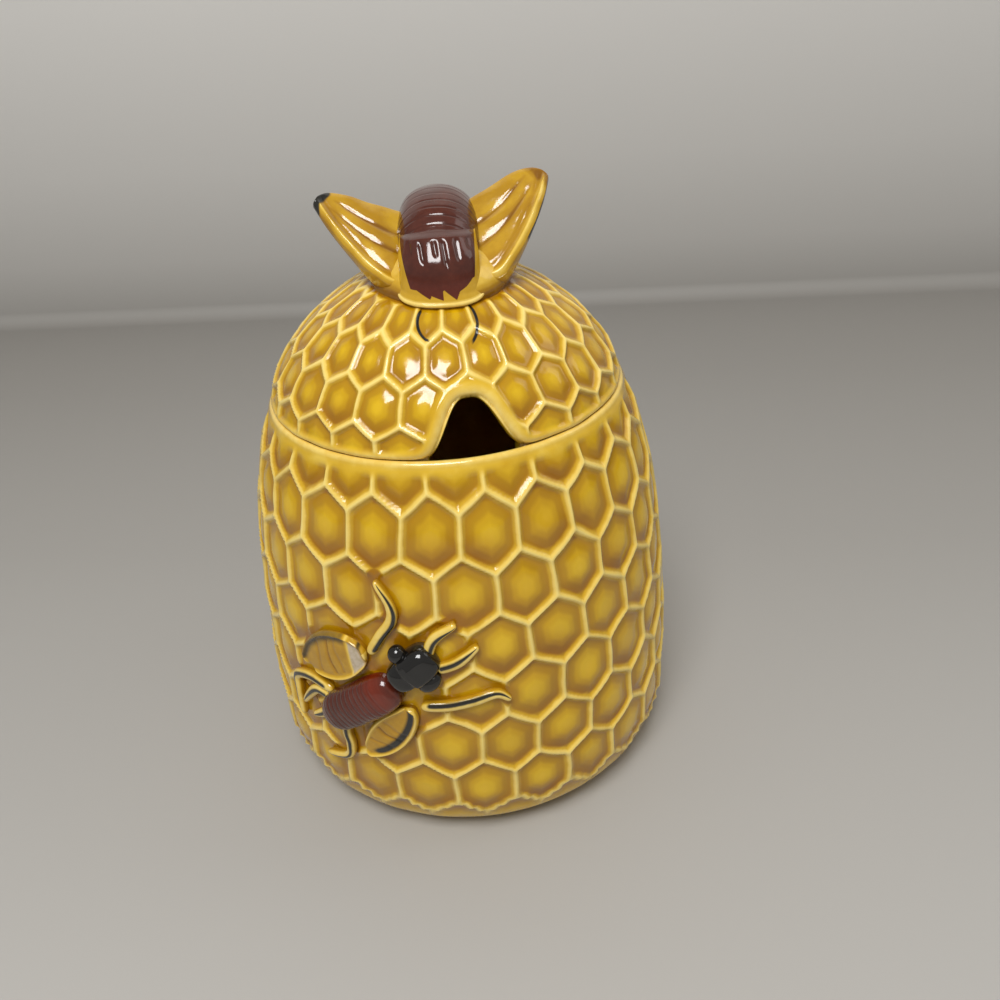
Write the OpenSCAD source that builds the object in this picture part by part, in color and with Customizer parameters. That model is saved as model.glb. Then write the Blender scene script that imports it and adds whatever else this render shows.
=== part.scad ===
// Honey pot in the shape of a beehive, with a domed lid that lifts off.
// Glazed earthenware, cast in two pieces. One bee sits astride the lid as its grip,
// and a second bee crawls up the wall in relief.
// Millimetres, +Z up. The origin is the middle of the foot, on the table.
// The spoon notch of the lid faces -Y. Azimuths are degrees from -Y towards +X.

/* [Pot] */
// Height of the pot from the table to the top of its rim
pot_h = 81.5; // [76:0.5:88]
// Radius of the pot at its widest
belly_r = 44; // [42.5:0.5:47]
// Height of the widest line above the table
belly_z = 12; // [10:0.5:14]
// How far the wall leans in between the widest line and the rim
wall_lean = 6.8; // [6:0.1:7.5]
// How far the shoulder rolls in just under the rim, on top of the lean
shoulder_roll = 3.2; // [2.5:0.1:3.6]
// How far the bottom corner curves in to the foot
foot_inset = 9.5; // [7:0.5:11]
// Width of the flat ring that the pot stands on
foot_ring_w = 3.5; // [2.5:0.1:5]
// Depth of the hollow under the foot
foot_hollow = 1.5; // [1:0.1:2.5]
// Thickness of the clay in the wall
pot_wall = 4; // [3.5:0.1:4.5]
// Thickness of the floor above the hollow of the foot
floor_t = 4; // [3:0.1:6]
// Width of the rim from the mouth to the outside
rim_w = 1.6; // [1.3:0.1:2.2]
// Radius of the rounded corner inside, between floor and wall
inner_corner = 8; // [5:0.5:10]
// Size of the softened edges of the rim and of the lid
edge_soft = 0.5; // [0.3:0.1:0.6]

/* [Lid] */
// How far the lid's edge stands in from the pot's rim
lid_step = 0.3; // [0:0.1:0.5]
// Height of the dome above the rim of the pot
dome_h = 24.5; // [23:0.5:27]
// Fullness of the dome: 2 is an ellipse, less is nearer a cone
dome_power = 1.64; // [1.58:0.02:1.8]
// Thickness of the clay at the top of the dome
lid_wall = 4; // [3:0.1:5]
// Depth of the locating ring that drops into the mouth
ring_h = 5; // [3:0.5:8]
// Thickness of the locating ring
ring_t = 3.2; // [2.5:0.1:4]
// Gap between the locating ring and the mouth
ring_gap = 0.5; // [0.3:0.1:1]

/* [Spoon notch] */
// Width of the notch at the lid's lower edge
notch_w = 14.6; // [12:0.2:17]
// Height of the notch above the rim of the pot
notch_h = 8.9; // [8:0.1:10]
// Radius of the round top of the notch
notch_top_r = 4.2; // [3.2:0.1:4.4]
// How far the notch stands beside the front line, towards +X
notch_side = -0.6; // [-1.5:0.1:1.5]
// Width of the plain band round the notch
notch_band = 2; // [1.4:0.1:2.6]

/* [Honeycomb] */
// Number of cells in each row
cells = 24; // [22:1:26]
// Height of the lowest row's middle above the table
first_row_z = 15; // [14.6:0.2:16]
// Spacing of the rows up the pot
row_pitch = 11; // [10.4:0.2:11.2]
// Number of rows on the pot
pot_rows = 6; // [4:1:6]
// Width of the ridges between cells
ridge_w = 1.5; // [1.2:0.1:2]
// Depth of the cells
cell_depth = 0.9; // [0.5:0.1:1.2]
// Azimuth of a cell in the lowest row
row_turn = 6.9; // [0:0.1:15]
// Number of rows on the lid
lid_rows = 4; // [3:1:4]
// Angle of the lid's lowest row up the dome
lid_row_first = 4; // [3:0.5:6]
// Angle from the lid's lowest row to the next
lid_row_step = 19.3; // [18:0.1:20]
// How much smaller each further step up the dome is than the one before
lid_row_closing = 3.4; // [3:0.1:4]
// Height of the plain band above the lid's lower edge
lid_band = 1.6; // [1.4:0.1:2.2]
// Azimuth of a cell in the lid's lowest row
lid_row_turn = 7.5; // [0:0.1:15]

/* [Bee on the lid] */
// Azimuth that the bee's head points to
bee_turn = -10; // [-16:1:-4]
// How far the bee stands beside the apex, towards +X
bee_side = 1.2; // [0:0.1:2]
// Height of the top of the bee's arched back above the apex
arch_top = 10.9; // [10.4:0.1:12]
// Radius of the arched line that the middle of its body follows
arch_r = 10; // [9.4:0.1:10.6]
// How far the arch's middle stands behind the apex
arch_back = 1.6; // [1:0.1:2.2]
// Radius of the body at its thickest
body_r = 7.3; // [6.8:0.1:7.6]
// Number of rings along the body
body_rings = 7; // [6:1:8]
// How much narrower a ring is at its edges than in its middle
ring_edge = 0.5; // [0.3:0.1:0.7]
// Angle of the arch that each ring takes up
ring_turn = 22; // [19:1:23]
// Angle from the top of the arch forward to the edge of the first ring
collar_a = 53; // [50:1:56]
// Radius of the balls that the head is made of
head_r = 6.6; // [6.2:0.1:6.9]
// Angle of the arch from each ball of the head to the next
head_step = 13; // [11:1:14]
// How much further out each ball of the head stands than the one before it
head_out = 0.7; // [0.4:0.1:0.8]
// Half the span between the wing tips
wing_span = 21; // [19.5:0.1:22]
// Height of the right wing's tip above the apex
wing_rise = 12.3; // [11.6:0.1:13]
// How much lower the left wing's tip is than the right one's
left_wing_drop = 2; // [0:0.1:2.4]
// Width of a wing along its face, from its tip's level to the front of its root
wing_w = 18; // [16:0.5:19]
// Angle at which a wing rises outwards
wing_lift = 20; // [17:1:23]
// Angle at which a wing slopes down forward
wing_pitch = 34; // [30:1:36]
// Thickness of a wing at its tip
wing_tip_t = 2; // [1.6:0.1:2.4]
// Width of the blunt end of a wing
wing_tip_w = 3; // [2.4:0.1:3.6]
// Radius of the mound of clay under the bee
mound_r = 12.8; // [12.4:0.1:13.4]
// How far the mound reaches in front of the apex
mound_reach = 15.6; // [15.2:0.1:16]
// Height of the mound's front edge above the dome
mound_edge_h = 0.6; // [0.4:0.1:1]
// Height of the mound's top above the apex
mound_rise = 3; // [2.4:0.1:3.6]

/* [Bee on the wall] */
// Azimuth of the place on the wall that the bee is measured from
crawl_az = -37; // [-40:0.5:-34]
// Height of that place above the table
crawl_z = 34.4; // [32:0.2:37]
// Slope of its body up the wall, in degrees from level
crawl_slope = 37; // [32:1:42]
// Length of its ringed body
crawl_len = 21; // [20:0.2:22]
// Radius of its ringed body
crawl_r = 4.2; // [3.8:0.1:4.5]
// How deep the body's axis lies under the crests of the honeycomb
crawl_sink = 0.6; // [0.4:0.1:1]
// Number of rings along its body
crawl_rings = 7; // [5:1:9]
// Depth of the step from one ring to the next
crawl_ring_step = 0.25; // [0.1:0.05:0.35]
// Length of its head
crawl_head_len = 10; // [9.4:0.1:10.6]
// Width of its head
crawl_head_w = 6.8; // [6.4:0.1:7.2]
// Height of its head above the crests of the honeycomb
crawl_head_h = 3.4; // [3:0.1:4]
// Radius of the head's corners
crawl_brow_r = 1.5; // [1.2:0.1:1.6]
// Radius of its eyes
eye_r = 1.9; // [1.7:0.1:2.2]
// Height of its wings above the crests of the honeycomb
crawl_wing_h = 1.3; // [1:0.1:1.6]
// Length of its wings
crawl_wing_len = 17; // [16:0.2:18]
// Width of its upper wing
upper_wing_w = 10.4; // [9.6:0.2:11.2]
// Width of its lower wing
lower_wing_w = 7.4; // [6.8:0.2:8]
// Heading of its upper wing from the root, in degrees from the line towards the head
upper_wing_turn = 167; // [162:1:171]
// Heading of its lower wing
lower_wing_turn = -165; // [-169:1:-161]
// Width of its legs
leg_w = 2.2; // [1.8:0.1:2.6]
// Width of its feelers
feeler_w = 1.8; // [1.4:0.1:2.2]
// Height of its legs and feelers above the crests of the honeycomb
limb_h = 1.1; // [0.8:0.1:1.5]

/* [Hidden] */
$fn = 96;
cut = 1;                                  // how far a cutter runs past the face that it cuts
profile_steps = 14;                       // straight steps in a curved profile
corner_steps = 4;                         // straight steps in a short round corner
foot_r = belly_r - foot_inset;
rim_r = belly_r - wall_lean - shoulder_roll;
mouth_r = rim_r - rim_w;
lid_r = rim_r - lid_step;
ring_r = mouth_r - ring_gap;
floor_z = foot_hollow + floor_t;
apex_z = pot_h + dome_h;

// Outer radius of the pot's wall at height z, at the crests of the honeycomb
function rise(z) = (z - belly_z) / (pot_h - belly_z);
function pot_r(z) = z < belly_z
    ? belly_r - foot_inset * (1 - sqrt(1 - pow((belly_z - z) / belly_z, 2)))
    : belly_r - wall_lean * pow(rise(z), 2) - shoulder_roll * pow(rise(z), 7);

// Radius of the lid's dome at height z above the rim of the pot, and its height at radius r
function dome_r(z) = lid_r * pow(1 - pow(z / dome_h, dome_power), 1 / dome_power);
function dome_z(r) = dome_h * pow(1 - pow(r / lid_r, dome_power), 1 / dome_power);

// Points of a dome of radius r and height h, from its edge to its apex
function dome_points(r, h) = [for (i = [0:profile_steps])
    let (a = 90 * i / profile_steps)
    [r * pow(cos(a), 2 / dome_power), pot_h + h * pow(sin(a), 2 / dome_power)]];

// Lean of each surface at height z, in degrees back from upright
function pot_lean(z) = atan2(pot_r(z - 1) - pot_r(z + 1), 2);
function dome_lean(z) = atan2(dome_r(max(z - 0.5, 0)) - dome_r(z + 0.5), min(z, 0.5) + 0.5);

// Turns a shape made at the front, on -Y, round to azimuth az
module at_azimuth(az) {
    rotate([0, 0, az]) children();
}

// The pot's outer form, solid, with smooth walls
module pot_form() {
    foot = [for (i = [0:corner_steps]) belly_z * (1 - cos(90 * i / corner_steps))];
    wall = [for (i = [1:profile_steps])
        belly_z + (pot_h - edge_soft - belly_z) * sin(90 * i / profile_steps)];
    rotate_extrude() polygon(concat(
        [[0, 0]],
        [for (z = foot) [pot_r(z), z]],
        [for (z = wall) [pot_r(z), z]],
        [[rim_r - edge_soft, pot_h], [0, pot_h]]));
}

// Hollow of the pot, from its floor up through its mouth
module pot_hollow() {
    corner = [for (i = [0:corner_steps])
        let (a = 90 * i / corner_steps, z = floor_z + inner_corner * (1 - cos(a)))
        [pot_r(z) - pot_wall - inner_corner * (1 - sin(a)), z]];
    wall = [for (i = [1:profile_steps])
        let (z = floor_z + inner_corner + (pot_h - floor_z - inner_corner) * i / profile_steps)
        [max(mouth_r, pot_r(z) - pot_wall), z]];
    rotate_extrude() polygon(concat(
        [[0, floor_z]], corner, wall, [[mouth_r, pot_h + cut], [0, pot_h + cut]]));
}

// Cutter for one six-sided cell, standing on its point, in a surface of radius r that leans
// back by lean. Its lower part ends low under its middle, where a plain band stops it.
module cell_cutter(r, z, lean, row_gap, low) {
    half_w = PI * r / cells - ridge_w / 2;
    half_h = row_gap * 2 / 3 - ridge_w / sqrt(3);
    side = half_h / 2;
    outline = low < side
        ? [[0, half_h], [half_w, side], [half_w, -low], [-half_w, -low], [-half_w, side]]
        : [[0, half_h], [half_w, side], [half_w, -side], [0, -half_h], [-half_w, -side],
           [-half_w, side]];
    translate([0, -r, z]) rotate([90 - lean, 0, 0])
        translate([0, 0, -cell_depth]) linear_extrude(cell_depth + cut) polygon(outline);
}

// All cells of the pot, apart from those that the bee on the wall takes up
module pot_cells() {
    for (row = [0:pot_rows - 1], i = [0:cells - 1]) {
        z = first_row_z + row * row_pitch;
        az = row_turn + (row % 2) * 180 / cells + (i - cells / 2) * 360 / cells;
        if (!under_bee(az, z))
            at_azimuth(az) cell_cutter(pot_r(z), z, pot_lean(z), row_pitch, row_pitch);
    }
}

// Body of the jar: hollow, with a foot ring, a plain rim and rows of cells
module pot() {
    color("goldenrod") difference() {
        pot_form();
        pot_hollow();
        translate([0, 0, -cut]) cylinder(r = foot_r - foot_ring_w, h = foot_hollow + cut);
        pot_cells();
    }
}

// The lid's outer form above the rim, solid, with a smooth dome
module dome_form() {
    rotate_extrude() polygon(concat(
        [[0, pot_h], [lid_r - edge_soft, pot_h], [dome_r(edge_soft), pot_h + edge_soft]],
        [for (p = dome_points(lid_r, dome_h)) if (p[1] > pot_h + edge_soft) p]));
}

// Hollow under the lid, inside its locating ring
module dome_hollow() {
    rotate_extrude() polygon(concat(
        [[0, pot_h - ring_h - cut], [ring_r - ring_t, pot_h - ring_h - cut]],
        dome_points(ring_r - ring_t, dome_h - lid_wall)));
}

// Outline of the notch in the front view: slanted sides that run into a round top
module notch_outline() {
    top_z = notch_h - notch_top_r;
    half_w = notch_w / 2;
    a = acos(notch_top_r / norm([half_w, top_z])) - atan2(top_z, half_w);
    translate([notch_side, pot_h]) polygon(concat(
        [[-half_w, 0], [-half_w, -ring_h - cut], [half_w, -ring_h - cut], [half_w, 0]],
        [for (i = [0:profile_steps]) let (b = a + (180 - 2 * a) * i / profile_steps)
            [notch_top_r * cos(b), top_z + notch_top_r * sin(b)]]));
}

// The notch's outline carried back through the front wall of the lid
module notch_prism() {
    rotate([90, 0, 0]) translate([0, 0, lid_r / 2]) linear_extrude(lid_r) notch_outline();
}

// Place of a row of the lid's cells: its angle up the dome, and its height above the rim
function lid_row_a(row) = lid_row_first + row * lid_row_step - lid_row_closing * row * (row - 1) / 2;
function lid_row_z(row) = dome_h * pow(sin(lid_row_a(row)), 2 / dome_power);

// Distance over the dome from a row to the next
function lid_row_gap(row) = norm([dome_r(lid_row_z(row + 1)) - dome_r(lid_row_z(row)),
    lid_row_z(row + 1) - lid_row_z(row)]);

// True where a cell of the lid would break into the plain band round the notch
function at_notch(az, z) = cos(az) > 0 && z < notch_h + notch_band + lid_band
    && abs(dome_r(z) * sin(az) - notch_side)
        < (notch_w - notch_top_r * z / notch_h) / 2 + notch_band + PI * dome_r(z) / cells;

// Cells of the lid: the lowest row is stopped by a plain band above the edge
module lid_cells() {
    for (row = [0:lid_rows - 1], i = [0:cells - 1]) {
        z = lid_row_z(row);
        az = lid_row_turn + (row % 2) * 180 / cells + i * 360 / cells;
        if (!at_notch(az, z))
            at_azimuth(az) cell_cutter(dome_r(z), pot_h + z, dome_lean(z), lid_row_gap(row),
                row == 0 ? z - lid_band : row_pitch);
    }
}

// Domed lid with its locating ring, cells, and the notch for a spoon
module lid() {
    color("gold") difference() {
        union() {
            dome_form();
            translate([0, 0, pot_h - ring_h]) cylinder(r = ring_r, h = ring_h);
        }
        dome_hollow();
        lid_cells();
        notch_prism();
    }
}

// Frame of the bee on the lid: its head points along -Y, and the apex is the origin
module on_apex() {
    translate([bee_side, 0, apex_z]) rotate([0, 0, bee_turn]) children();
}

// Places a shape on the arched line of the body, a degrees forward of its highest point,
// with +Z along the line towards the head
module on_arch(a) {
    translate([0, arch_back, arch_top - body_r - arch_r])
        rotate([90 + a, 0, 0]) translate([0, arch_r, 0]) children();
}

// One ring of the body: a short barrel, widest nearer to its back edge
module body_ring(r, length) {
    rotate_extrude() polygon([[0, -length / 2], [r - ring_edge, -length / 2], [r, -length / 4],
        [r - ring_edge / 4, length / 4], [r - ring_edge, length / 2], [0, length / 2]]);
}

// The ringed body, from behind the head over the top and down to the tail
module body_form() {
    length = 2 * (arch_r + body_r) * tan(ring_turn / 2);
    for (i = [0:body_rings - 1])
        on_arch(collar_a - (i + 0.5) * ring_turn)
            body_ring(body_r * sqrt(1 - pow(max(i - 1, 0) / body_rings, 2)), length);
}

// The head: three balls in a row that run down in front of the body to the lid
module head_form() {
    for (i = [0:2]) on_arch(collar_a + i * head_step) translate([0, i * head_out, 0])
        sphere(head_r);
}

// The mound that the bee was set on, a little forward of the apex
module mound_form() {
    edge = dome_z(mound_reach) + mound_edge_h - dome_h;
    base = edge - mound_edge_h - cut;
    translate([0, mound_r - mound_reach, 0]) rotate_extrude() polygon(concat(
        [[0, base], [mound_r, base]],
        [for (i = [0:corner_steps]) let (a = 90 * i / corner_steps)
            [mound_r * cos(a), edge + (mound_rise - edge) * sin(a)]]));
}

// A wing: a thick slanted plate that thins out towards its tip. It is the part that two
// prisms share: one stands square on the wing's face, and one is its outline from the front.
module wing_form(side) {
    root = -wing_span - cut;
    tip = wing_tip_w / 3;
    rise = side < 0 ? wing_rise - left_wing_drop : wing_rise;
    mound_foot = dome_z(mound_r) - dome_h;
    intersection() {
        translate([side * wing_span, arch_back, rise])
            rotate([wing_pitch, 0, 0]) rotate([0, -side * wing_lift, 0])
                translate([0, 0, -wing_span]) linear_extrude(wing_span) polygon(
                    [for (p = [[0, 0], [-tip, -2 * tip], [body_r + root, -wing_w],
                        [root, -wing_w], [root, tip], [-2 * tip, tip]]) [side * p[0], p[1]]]);
        rotate([90, 0, 0]) linear_extrude(height = 4 * mound_r, center = true) polygon(
            [for (p = [[0, mound_foot - wing_tip_t], [mound_r, mound_foot],
                [wing_span, rise - wing_tip_t], [wing_span + cut, rise + cut],
                [0, rise + cut]]) [side * p[0], p[1]]]);
    }
}

// Each part of the bee stands on the smooth dome, and is cut where the next one covers it
module lid_bee_mound() {
    color("gold") difference() {
        on_apex() mound_form();
        dome_form();
        on_apex() body_form();
        on_apex() head_form();
    }
}

module lid_bee_body() {
    color("saddlebrown") difference() {
        on_apex() body_form();
        dome_form();
    }
}

module lid_bee_head() {
    color("saddlebrown") difference() {
        on_apex() head_form();
        dome_form();
        on_apex() body_form();
    }
}

module lid_bee_wing(side) {
    color("gold") difference() {
        on_apex() wing_form(side);
        dome_form();
        on_apex() mound_form();
        on_apex() body_form();
        on_apex() head_form();
    }
}

module lid_bee_left_wing() {
    lid_bee_wing(-1);
}

module lid_bee_right_wing() {
    lid_bee_wing(1);
}

// Places on the bee on the wall are [along, across]: along its body towards the head, and
// across it towards its upper side, in millimetres over the wall's surface
function crawl_at_z(p) = crawl_z + p[0] * sin(crawl_slope) + p[1] * cos(crawl_slope);
function crawl_at_az(p) = crawl_az
    + (p[0] * cos(crawl_slope) - p[1] * sin(crawl_slope)) / pot_r(crawl_z) * 180 / PI;

// Puts a shape on the wall at place p, out millimetres proud, with +X along the body
module on_wall(p, out = 0) {
    z = crawl_at_z(p);
    at_azimuth(crawl_at_az(p)) translate([0, -pot_r(z) - out, z])
        rotate([0, -crawl_slope, 0]) children();
}

// Places of the body's middle, the head's middle, the eyes, and the roots of the wings
body_at = [-0.4, 0.7];
head_at = body_at + [(crawl_len + crawl_head_len) / 2, 1.3];
eyes_at = [head_at + [0, crawl_head_w / 2 + 0.7], head_at - [-0.4, crawl_head_w / 2 + 0.7]];
upper_root = body_at + [crawl_len / 2 - 0.9, crawl_r + 4.1];
lower_root = body_at + [crawl_len / 2 - 1.2, -crawl_r - 1.8];

// Legs and feelers, each from the body outwards
front_legs = [[[9.6, 8.2], [14, 10], [18.2, 11.4], [20, 14], [20.4, 19]],
    [[10.4, -5.4], [14.4, -8.2], [18.8, -10.4], [22.8, -12.2], [23.8, -15.2]]];
hind_legs = [[[-5, 4.6], [-9.4, 8.6], [-14.8, 9.8], [-17.4, 7], [-21.3, 1.4]],
    [[-6.8, 3.8], [-9.7, 5.9], [-13.6, 5.4], [-17.4, 4.2]],
    [[-7, -1.2], [-9.3, -4.2], [-10.6, -6.6], [-13.6, -8.8], [-20, -7.2]],
    [[-9.4, 1.4], [-12.6, 1], [-16, 1.2]]];
feelers = [[[18.8, 2.2], [22.4, 4.2], [27.4, 3.9]], [[18.6, -1], [22.4, -2.2], [27.4, -2.1]]];
bee_clear = 5;                            // cells whose middle is nearer to the bee are left out

// True where the middle of a cell would lie under the bee or one of its limbs
function under_bee(az, z) =
    let (s = (az - crawl_az) * PI / 180 * pot_r(crawl_z), t = z - crawl_z,
        p = [s * cos(crawl_slope) + t * sin(crawl_slope),
            t * cos(crawl_slope) - s * sin(crawl_slope)],
        along = [crawl_len / 3, 0],
        spots = concat([body_at - along, body_at, body_at + along, head_at],
            [for (w = [[upper_root, upper_wing_turn], [lower_root, lower_wing_turn]],
                d = [crawl_wing_len / 4:crawl_wing_len / 4:crawl_wing_len])
                w[0] + d * [cos(w[1]), sin(w[1])]],
            [for (leg = concat(front_legs, hind_legs, feelers)) each leg]))
    min([for (q = spots) norm(p - q)]) < bee_clear;

// Outline of a line through points, made width wide
function ribbon(points, width) = let (n = len(points) - 1,
    sides = [for (i = [0:n]) let (d = points[min(i + 1, n)] - points[max(i - 1, 0)])
        [-d[1], d[0]] * width / 2 / norm(d)])
    concat([for (i = [0:n]) points[i] + sides[i]], [for (i = [n:-1:0]) points[i] - sides[i]]);

// A plate of a given flat shape that follows the wall, height millimetres proud of it. The
// shape is measured from place p on the wall, [along, across].
module wall_plate(p, height) {
    intersection() {
        on_wall(p) rotate([90, 0, 0])
            linear_extrude(height = crawl_len, center = true) children();
        grown_pot_form(height);
    }
}

// The pot's outer form made thicker, over the bee's part of the wall
module grown_pot_form(height) {
    rotate_extrude() polygon(concat([[0, belly_z / 2]],
        [for (i = [0:profile_steps]) let (z = belly_z / 2 + (pot_h - belly_z) * i / profile_steps)
            [pot_r(z) + height, z]],
        [[0, pot_h - belly_z / 2]]));
}

// Legs or feelers: ribs of one height along lines of places, joined where they meet
module limbs(lines, width) {
    middle = (lines[0][0] + lines[0][len(lines[0]) - 1]) / 2;
    wall_plate(middle, limb_h)
        for (points = lines) polygon(ribbon([for (q = points) q - middle], width));
}

// The ringed body: each ring starts a little wider than the one in front of it ends, and
// the rings at both ends are narrower than those in the middle
module crawl_body_form() {
    ring = crawl_len / crawl_rings;
    end = crawl_len / 2;
    on_wall(body_at, -crawl_sink) rotate([0, 90, 0]) rotate_extrude() polygon(concat(
        [[0, -end]],
        [for (i = [0:crawl_rings - 1])
            let (x = i * ring - end, r = crawl_r * sqrt(1 - pow((x + ring) / (3.2 * end), 2)))
            each [[r, x + crawl_ring_step / 2], [r - crawl_ring_step, x + ring]]],
        [[0, end]]));
}

// The head: a blunt wedge with a flat brow, as wide in front as over the neck
module crawl_head_form() {
    far = [crawl_head_len / 2 - crawl_brow_r, crawl_head_w / 2 - crawl_brow_r];
    hull() {
        for (side = [-1, 1]) {
            on_wall(head_at + [far[0], side * far[1]]) sphere(crawl_brow_r, $fn = 24);
            on_wall(head_at + [-far[0], side * far[1]], crawl_head_h - 2 * crawl_brow_r)
                sphere(crawl_brow_r, $fn = 24);
        }
        on_wall(head_at, crawl_head_h - crawl_brow_r) sphere(crawl_brow_r, $fn = 24);
    }
}

module crawl_eyes_form() {
    for (p = eyes_at) on_wall(p, eye_r / 2) sphere(eye_r);
}

// Outline of a wing: an egg that starts at its root, is widest nearer to its tip, and runs
// along heading a
function wing_outline(width, a) = [for (i = [0:2 * profile_steps - 1])
    let (t = 180 * i / profile_steps, x = crawl_wing_len / 2 * (1 - cos(t)),
        y = width / 2 * sin(t) * (1 - cos(t) / 8))
    [x * cos(a) - y * sin(a), x * sin(a) + y * cos(a)]];

module wall_bee_body() {
    color("saddlebrown") difference() {
        crawl_body_form();
        pot_form();
    }
}

module wall_bee_head() {
    color("#222222") difference() {
        crawl_head_form();
        pot_form();
        crawl_body_form();
    }
}

module wall_bee_eyes() {
    color("#111111") difference() {
        crawl_eyes_form();
        pot_form();
        crawl_head_form();
    }
}

module upper_wing_form() {
    wall_plate(upper_root, crawl_wing_h) polygon(wing_outline(upper_wing_w, upper_wing_turn));
}

module lower_wing_form() {
    wall_plate(lower_root, crawl_wing_h) polygon(wing_outline(lower_wing_w, lower_wing_turn));
}

module wall_bee_upper_wing() {
    color("khaki") difference() {
        upper_wing_form();
        pot_form();
        crawl_body_form();
    }
}

module wall_bee_lower_wing() {
    color("khaki") difference() {
        lower_wing_form();
        pot_form();
        crawl_body_form();
    }
}

module wall_bee_feelers() {
    color("#222222") difference() {
        for (points = feelers) limbs([points], feeler_w);
        pot_form();
        crawl_head_form();
    }
}

module wall_bee_front_legs() {
    color("#222222") difference() {
        for (points = front_legs) limbs([points], leg_w);
        pot_form();
        crawl_body_form();
        crawl_head_form();
        crawl_eyes_form();
        upper_wing_form();
        lower_wing_form();
    }
}

module wall_bee_hind_legs() {
    color("#222222") difference() {
        limbs(hind_legs, leg_w);
        pot_form();
        crawl_body_form();
    }
}

pot();
lid();
lid_bee_mound();
lid_bee_body();
lid_bee_head();
lid_bee_left_wing();
lid_bee_right_wing();
wall_bee_body();
wall_bee_head();
wall_bee_eyes();
wall_bee_upper_wing();
wall_bee_lower_wing();
wall_bee_feelers();
wall_bee_front_legs();
wall_bee_hind_legs();
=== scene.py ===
import math
import bmesh
import bpy
import numpy as np
from mathutils import Matrix, Vector


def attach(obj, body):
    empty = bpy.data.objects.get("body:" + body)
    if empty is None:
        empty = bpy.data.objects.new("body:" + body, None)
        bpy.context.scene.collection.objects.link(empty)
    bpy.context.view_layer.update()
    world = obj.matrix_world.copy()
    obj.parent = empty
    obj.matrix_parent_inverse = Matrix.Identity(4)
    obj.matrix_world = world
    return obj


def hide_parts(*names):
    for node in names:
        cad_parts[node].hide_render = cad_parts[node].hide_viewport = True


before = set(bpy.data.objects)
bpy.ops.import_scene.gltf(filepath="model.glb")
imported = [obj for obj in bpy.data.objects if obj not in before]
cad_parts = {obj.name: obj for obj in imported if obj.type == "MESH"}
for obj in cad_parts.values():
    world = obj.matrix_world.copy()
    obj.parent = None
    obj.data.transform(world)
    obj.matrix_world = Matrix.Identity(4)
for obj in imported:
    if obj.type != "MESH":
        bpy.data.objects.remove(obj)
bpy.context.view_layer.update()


# The pot
# The pot is one slip casting of pale earthenware. Its honeycomb was carved into the master,
# so no two cells are quite alike. It is dipped in one transparent honey-coloured glaze, which
# runs thin and pale over the ridges and pools dark along the edges of the cells.

def srgb(*parts):
    """A colour read off a screen, 0 to 255, as the linear colour that a shader takes."""
    return tuple((p / 255 / 12.92 if p <= 10 else ((p / 255 + 0.055) / 1.055) ** 2.4)
                 for p in parts)


class Coat:
    """A number or colour that changes over a glazed surface: one socket of its node tree.
    An expression on coats and plain numbers adds the Math nodes that work it out."""

    def __init__(self, tree, socket=None):
        self.tree, self.socket = tree, socket

    def node(self, kind, settings={}, inputs={}, out=0):
        """Adds a node of one kind, sets it up, then feeds its sockets with values or coats."""
        made = self.tree.nodes.new(kind)
        for name, value in settings.items():
            if name == "stops":
                stops = made.color_ramp.elements
                stops.remove(stops[1])
                stops[0].position, stops[0].color = value[0][0], (*value[0][1], 1)
                for place, colour in value[1:]:
                    stops.new(place).color = (*colour, 1)
            else:
                setattr(made, name, value)
        for name, value in inputs.items():
            if isinstance(value, Coat):
                self.tree.links.new(value.socket, made.inputs[name])
            else:
                made.inputs[name].default_value = value
        return Coat(self.tree, made.outputs[out])

    def math(self, operation, *others):
        return self.node("ShaderNodeMath", {"operation": operation},
                         {i: v for i, v in enumerate((self, *others))})

    def __add__(self, other):
        return self.math("ADD", other)

    def __sub__(self, other):
        return self.math("SUBTRACT", other)

    def __rsub__(self, other):
        return (self * -1).math("ADD", other)

    def __mul__(self, other):
        return self.math("MULTIPLY", other)

    def __truediv__(self, other):
        return self.math("DIVIDE", other)

    def __abs__(self):
        return self.math("ABSOLUTE")

    __radd__, __rmul__ = __add__, __mul__

    def step(self, low, high):
        """0 below low, 1 above high, and a smooth slope between."""
        return self.node("ShaderNodeMapRange", {"interpolation_type": "SMOOTHSTEP"},
                         {"Value": self, "From Min": low, "From Max": high})

    def ramp(self, stops, ease="EASE"):
        """A colour for each place along a row of stops."""
        coat = self.node("ShaderNodeValToRGB", {"stops": stops}, {"Fac": self})
        coat.socket.node.color_ramp.interpolation = ease
        return coat

    def over(self, other, mask):
        """This colour where the mask is 1, and the other one where it is 0."""
        return self.node("ShaderNodeMix", {"data_type": "RGBA"},
                         {"Factor": mask, "A": other, "B": self}, out=2)

    def noise(self, size, detail=2.0, rough=0.5, spread=(1, 1, 1)):
        """A soft random pattern whose blots are about size metres across."""
        place = self.node("ShaderNodeTexCoord", out=3)
        place = self.node("ShaderNodeMapping", {}, {"Vector": place, "Scale": spread})
        return self.node("ShaderNodeTexNoise", {}, {"Vector": place, "Scale": 1 / size,
                                                    "Detail": detail, "Roughness": rough})


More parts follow.
